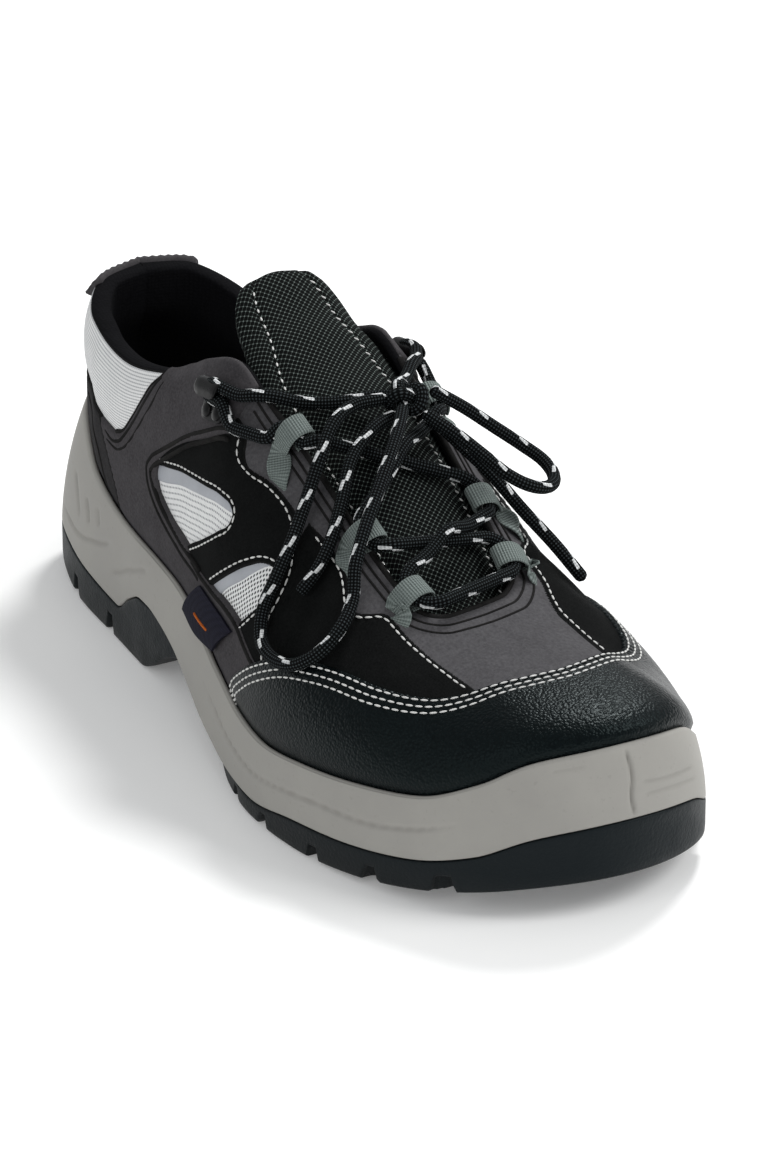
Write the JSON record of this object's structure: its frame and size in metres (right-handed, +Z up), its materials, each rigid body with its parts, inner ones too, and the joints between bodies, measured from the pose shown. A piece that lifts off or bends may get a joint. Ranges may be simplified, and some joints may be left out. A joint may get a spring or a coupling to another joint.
{
  "type": "safety shoe",
  "caption": "Low laced safety shoe for the right foot, with a lugged two-colour sole, hollow panelled upper, toe cap, padded tongue, insole, lace loops, hooks and bow.",
  "frame": {"origin": "on the floor under the middle of the sole's length and breadth", "axes": "+X towards the toe, -Y to the outer side of the foot, +Z up"},
  "size_m": [0.302, 0.1151, 0.127],
  "materials": {
    "tread_pu": "matte moulded black tread",
    "foamed_pu": "matte foamed grey sidewall",
    "nubuck": "matte charcoal and black nubuck with mesh windows",
    "coated_leather": "grained black coated leather, satin",
    "insole_foam": "black fabric on foam",
    "tongue_mesh": "black coarse mesh over padding",
    "webbing": "light grey woven webbing",
    "hook_steel": "black lacquered pressed steel",
    "lace_cord": "round black braided lace with white flecks"
  },
  "bodies": {
    "root": {"insole": "insole_foam", "lace_bar_front": "lace_cord", "lace_bow_lateral": "lace_cord", "lace_bow_medial": "lace_cord", "lace_cross_lower": "lace_cord", "lace_cross_middle": "lace_cord", "lace_end_lateral": "lace_cord", "lace_end_medial": "lace_cord", "lace_hook_lateral": "hook_steel", "lace_hook_medial": "hook_steel", "lace_knot": "lace_cord", "lace_loop_lateral_1": "webbing", "lace_loop_lateral_2": "webbing", "lace_loop_lateral_3": "webbing", "lace_loop_medial_1": "webbing", "lace_loop_medial_2": "webbing", "lace_loop_medial_3": "webbing", "lace_run_lateral": "lace_cord", "lace_run_medial": "lace_cord", "lace_tie_lateral": "lace_cord", "lace_tie_medial": "lace_cord", "midsole": "foamed_pu", "outsole": "tread_pu", "toe_cap": "coated_leather", "tongue": "tongue_mesh", "upper": "nubuck"}
  },
  "joints": []
}
